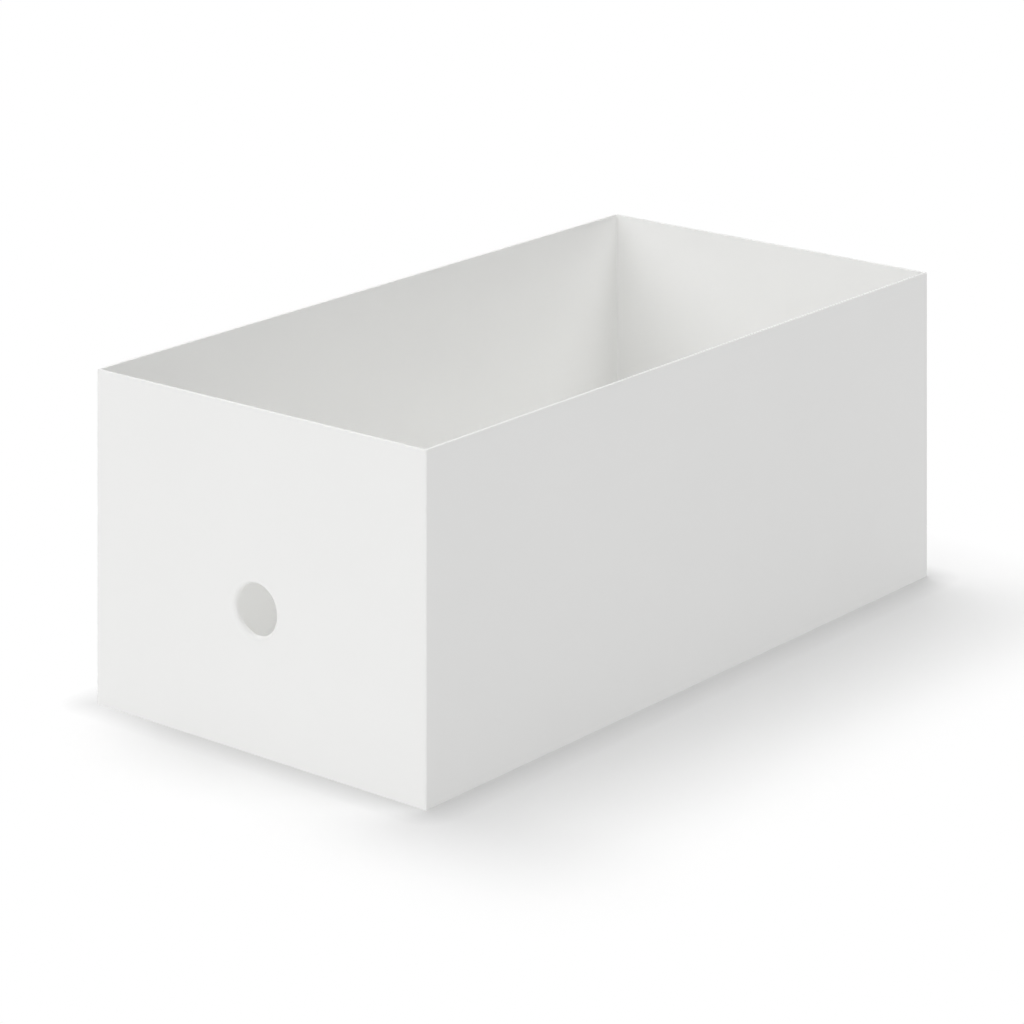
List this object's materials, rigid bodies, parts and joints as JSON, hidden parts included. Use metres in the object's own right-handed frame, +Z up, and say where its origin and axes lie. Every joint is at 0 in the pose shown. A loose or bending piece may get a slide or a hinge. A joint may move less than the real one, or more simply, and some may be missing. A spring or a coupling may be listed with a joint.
{
  "type": "file storage box",
  "caption": "Low open-top file storage box of matte pale plastic with upright walls, a thin rim and a round finger hole low in one short wall.",
  "frame": {"origin": "on the table under the middle of the box", "axes": "+Z up, +Y from the front wall with the finger hole to the back wall, +X to the right seen from the front"},
  "size_m": [0.15, 0.32, 0.12],
  "materials": {
    "moulded_plastic": "fine matte moulded texture, pale warm grey-white"
  },
  "bodies": {
    "root": {"front_wall": "moulded_plastic", "back_wall": "moulded_plastic", "left_wall": "moulded_plastic", "right_wall": "moulded_plastic", "floor_panel": "moulded_plastic"}
  },
  "joints": []
}
